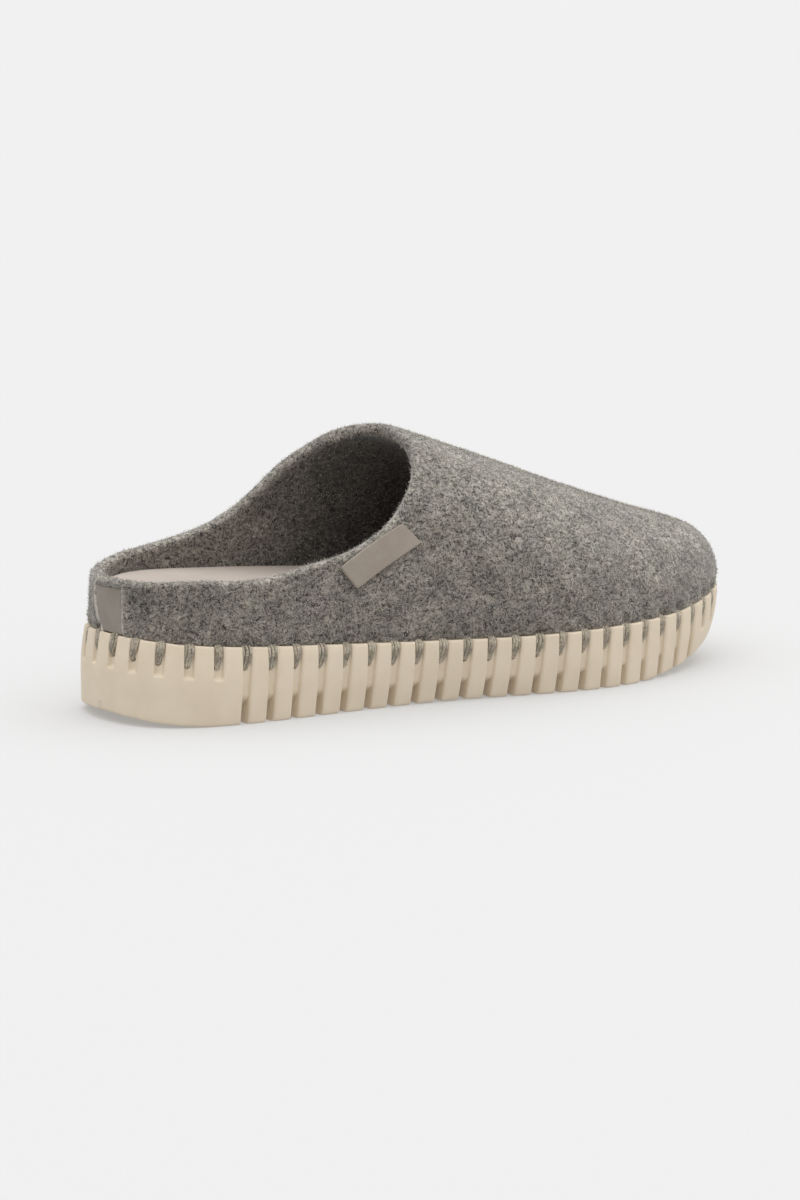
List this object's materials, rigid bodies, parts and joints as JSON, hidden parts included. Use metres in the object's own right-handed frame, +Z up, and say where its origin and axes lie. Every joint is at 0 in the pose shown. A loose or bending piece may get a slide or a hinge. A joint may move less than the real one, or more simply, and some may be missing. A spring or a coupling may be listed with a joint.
{
  "type": "felt slipper",
  "caption": "Closed-toe felt clog for the right foot with a low back rim, a hollow felt upper, a soft footbed and a thick rubber sole with grooved side walls.",
  "frame": {"origin": "middle of the bounding box on the floor plane that the heel and forefoot stand on", "axes": "+X towards the toe, +Y towards the inner side of the right foot, +Z up"},
  "size_m": [0.259, 0.1002, 0.0951],
  "materials": {
    "rubber": "warm beige, matt moulded",
    "felt": "grey melange wool felt, napped",
    "footbed_leather": "pinkish beige, soft and matt",
    "strip_leather": "taupe, smooth and matt",
    "label_suede": "taupe, fine matt nap"
  },
  "bodies": {
    "root": {"outsole": "rubber", "upper": "felt", "insole": "footbed_leather", "heel_strip": "strip_leather", "label": "label_suede"}
  },
  "joints": []
}
